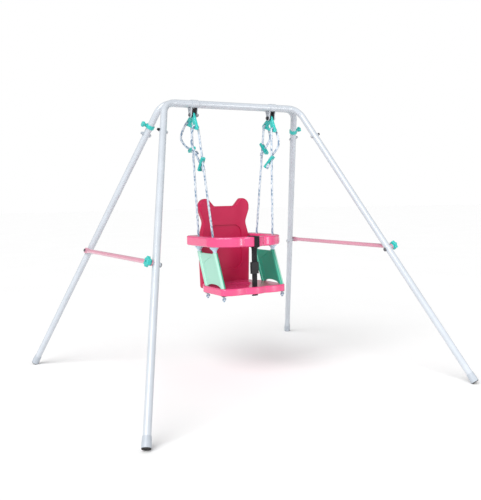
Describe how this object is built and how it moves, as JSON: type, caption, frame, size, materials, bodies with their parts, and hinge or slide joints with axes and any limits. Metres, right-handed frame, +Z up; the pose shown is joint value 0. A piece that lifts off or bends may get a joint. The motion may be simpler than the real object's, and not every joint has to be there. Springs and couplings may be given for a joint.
{
  "type": "swing set",
  "caption": "Toddler's garden swing: bent-tube A-frame, pink side bars, and a bucket seat with a sliding safety ring hung on four adjustable ropes from two hangers.",
  "frame": {"origin": "on the ground, under the middle of the bar (bottom centre of the bounding box)", "axes": "+X along the bar to the sitting child's left, +Y towards the seat's back, +Z up"},
  "size_m": [1.4792, 1.4286, 1.1926],
  "materials": {
    "white_paint": "satin",
    "pink_paint": "satin",
    "dark_steel": "satin",
    "bright_steel": "satin",
    "white_plastic": "matte",
    "black_plastic": "matte",
    "black_rubber": "matte",
    "teal_plastic": "gloss",
    "blue_plastic": "gloss",
    "mint_plastic": "satin",
    "pink_plastic": "gloss",
    "rope": "matte",
    "webbing": "matte"
  },
  "bodies": {
    "frame": {"collar_studs": "dark_steel", "foot_cap_front_left": "white_plastic", "foot_cap_front_right": "white_plastic", "foot_cap_rear_left": "white_plastic", "foot_cap_rear_right": "white_plastic", "foot_pads": "black_rubber", "hanger_bracket_left": "white_paint", "hanger_bracket_right": "white_paint", "hanger_liners": "black_plastic", "joint_bolts": "bright_steel", "joint_cap_nuts_front": "black_plastic", "joint_cap_nuts_rear": "white_plastic", "joint_saddles": "white_plastic", "leg_collar_left": "teal_plastic", "leg_collar_right": "teal_plastic", "leg_front_left": "white_paint", "leg_front_right": "white_paint", "leg_rear_left": "white_paint", "leg_rear_right": "white_paint", "pivot_bolts": "dark_steel", "pivot_nuts": "black_plastic", "side_bar_knob_bolts": "dark_steel", "side_bar_left": "pink_paint", "side_bar_rear_bolts": "bright_steel", "side_bar_rear_nuts": "dark_steel", "side_bar_right": "pink_paint", "side_bar_saddles": "white_plastic", "top_tube_front": "white_paint", "top_tube_rear": "white_paint"},
    "swing": {"adjuster_front_left": "teal_plastic", "adjuster_front_right": "teal_plastic", "adjuster_rear_left": "teal_plastic", "adjuster_rear_right": "teal_plastic", "backrest": "pink_plastic", "buckle_plug": "black_plastic", "rope_front_left": "rope", "rope_front_right": "rope", "rope_guide_front_left": "blue_plastic", "rope_guide_front_right": "blue_plastic", "rope_guide_rear_left": "blue_plastic", "rope_guide_rear_right": "blue_plastic", "rope_knots": "rope", "rope_rear_left": "rope", "rope_rear_right": "rope", "seat_base": "pink_plastic", "seat_screws": "dark_steel", "seat_washers": "dark_steel", "side_panel_left": "mint_plastic", "side_panel_right": "mint_plastic", "spreader_plate_left": "teal_plastic", "spreader_plate_right": "teal_plastic", "strap_tail": "webbing"},
    "safety_ring": {"safety_ring": "pink_plastic", "strap_loop": "webbing", "buckle_socket": "black_plastic"},
    "side_knob_left": {"side_knob_left": "teal_plastic"},
    "side_knob_right": {"side_knob_right": "teal_plastic"},
    "collar_knob_left": {"collar_knob_left": "teal_plastic"},
    "collar_knob_right": {"collar_knob_right": "teal_plastic"}
  },
  "joints": [
    {"name": "swing", "type": "hinge", "parent": "frame", "child": "swing", "pos_m": [0, 0, 1.131], "axis": [1, 0, 0], "range_deg": [-45, 45]},
    {"name": "safety_ring_slide", "type": "slide", "parent": "swing", "child": "safety_ring", "axis": [0, 0, 1], "range_m": [0, 0.12]},
    {"name": "side_knob_left_turn", "type": "hinge", "parent": "frame", "child": "side_knob_left", "pos_m": [-0.53971, -0.38077, 0.552], "axis": [-0.947, 0, 0.3213], "continuous": true},
    {"name": "collar_knob_left_turn", "type": "hinge", "parent": "frame", "child": "collar_knob_left", "pos_m": [-0.35945, 0.06869, 1.08331], "axis": [-0.947, 0, 0.3213], "continuous": true},
    {"name": "side_knob_right_turn", "type": "hinge", "parent": "frame", "child": "side_knob_right", "pos_m": [0.53971, -0.38077, 0.552], "axis": [0.947, 0, 0.3213], "continuous": true},
    {"name": "collar_knob_right_turn", "type": "hinge", "parent": "frame", "child": "collar_knob_right", "pos_m": [0.35945, 0.06869, 1.08331], "axis": [0.947, 0, 0.3213], "continuous": true}
  ]
}
